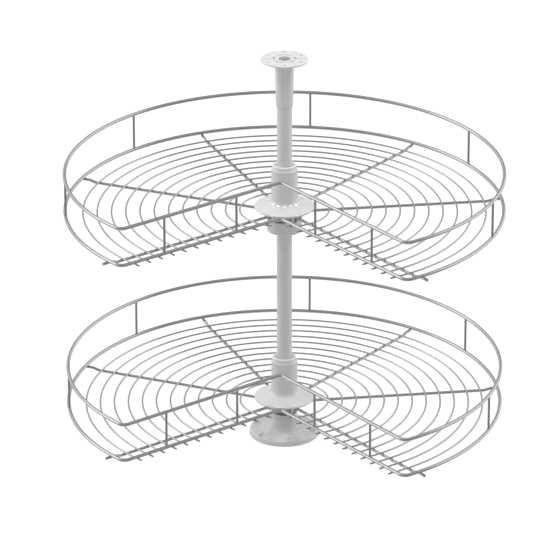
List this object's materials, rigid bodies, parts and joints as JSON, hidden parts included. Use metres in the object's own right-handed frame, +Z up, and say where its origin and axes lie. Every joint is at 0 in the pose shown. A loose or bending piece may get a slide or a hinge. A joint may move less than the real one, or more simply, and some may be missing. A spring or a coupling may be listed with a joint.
{
  "type": "corner carousel fitting",
  "caption": "Corner cabinet carousel: round wire trays with an open quarter turn on a column that is screwed between the cabinet's floor and top, with a sliding top flange.",
  "frame": {"origin": "centre of the base flange's underside, on the column's axis", "axes": "+Z up along the column; the open quarter of each tray faces +X and -Y"},
  "size_m": [0.7249, 0.7249, 0.663],
  "materials": {
    "chrome_wire": "polished",
    "plastic": "satin",
    "pale_plastic": "satin",
    "painted_pole": "satin",
    "bearing_steel": "oiled",
    "screw_steel": "zinc plated"
  },
  "bodies": {
    "column": {"base_flange": "plastic", "pole": "painted_pole", "pole_plug": "plastic", "pole_screw": "screw_steel", "base_race": "bearing_steel"},
    "lower_tray": {"lower_hub": "plastic", "lower_top_bush": "pale_plastic", "lower_bottom_bush": "pale_plastic", "lower_hub_race": "bearing_steel", "lower_hub_ring": "chrome_wire", "lower_spokes": "chrome_wire", "lower_ring_wires": "chrome_wire", "lower_bottom_rim": "chrome_wire", "lower_top_rim": "chrome_wire", "lower_posts": "chrome_wire"},
    "lower_bearing": {"lower_bearing_balls": "bearing_steel", "lower_bearing_cage": "pale_plastic"},
    "upper_support": {"support_collar": "plastic", "collar_screws": "screw_steel", "collar_race": "bearing_steel"},
    "upper_tray": {"upper_hub": "plastic", "upper_top_bush": "pale_plastic", "upper_bottom_bush": "pale_plastic", "upper_hub_race": "bearing_steel", "upper_hub_ring": "chrome_wire", "upper_spokes": "chrome_wire", "upper_ring_wires": "chrome_wire", "upper_bottom_rim": "chrome_wire", "upper_top_rim": "chrome_wire", "upper_posts": "chrome_wire"},
    "upper_bearing": {"upper_bearing_balls": "bearing_steel", "upper_bearing_cage": "pale_plastic"},
    "top_mount": {"top_flange": "plastic", "sleeve_screw": "screw_steel"}
  },
  "joints": [
    {"name": "lower_tray_turn", "type": "hinge", "parent": "column", "child": "lower_tray", "pos_m": [0, 0, 0], "axis": [0, 0, 1], "continuous": true},
    {"name": "upper_support_slide", "type": "slide", "parent": "column", "child": "upper_support", "axis": [0, 0, 1], "range_m": [-0.12, 0.06]},
    {"name": "upper_tray_turn", "type": "hinge", "parent": "upper_support", "child": "upper_tray", "pos_m": [0, 0, 0], "axis": [0, 0, 1], "continuous": true},
    {"name": "lower_bearing_turn", "type": "hinge", "parent": "column", "child": "lower_bearing", "pos_m": [0, 0, 0], "axis": [0, 0, 1], "continuous": true},
    {"name": "upper_bearing_turn", "type": "hinge", "parent": "upper_support", "child": "upper_bearing", "pos_m": [0, 0, 0], "axis": [0, 0, 1], "continuous": true},
    {"name": "top_flange_slide", "type": "slide", "parent": "column", "child": "top_mount", "axis": [0, 0, 1], "range_m": [-0.02, 0.03]}
  ],
  "couplings": [
    {"joint": "lower_bearing_turn", "follows": "lower_tray_turn", "ratio": 0.5},
    {"joint": "upper_bearing_turn", "follows": "upper_tray_turn", "ratio": 0.5}
  ]
}
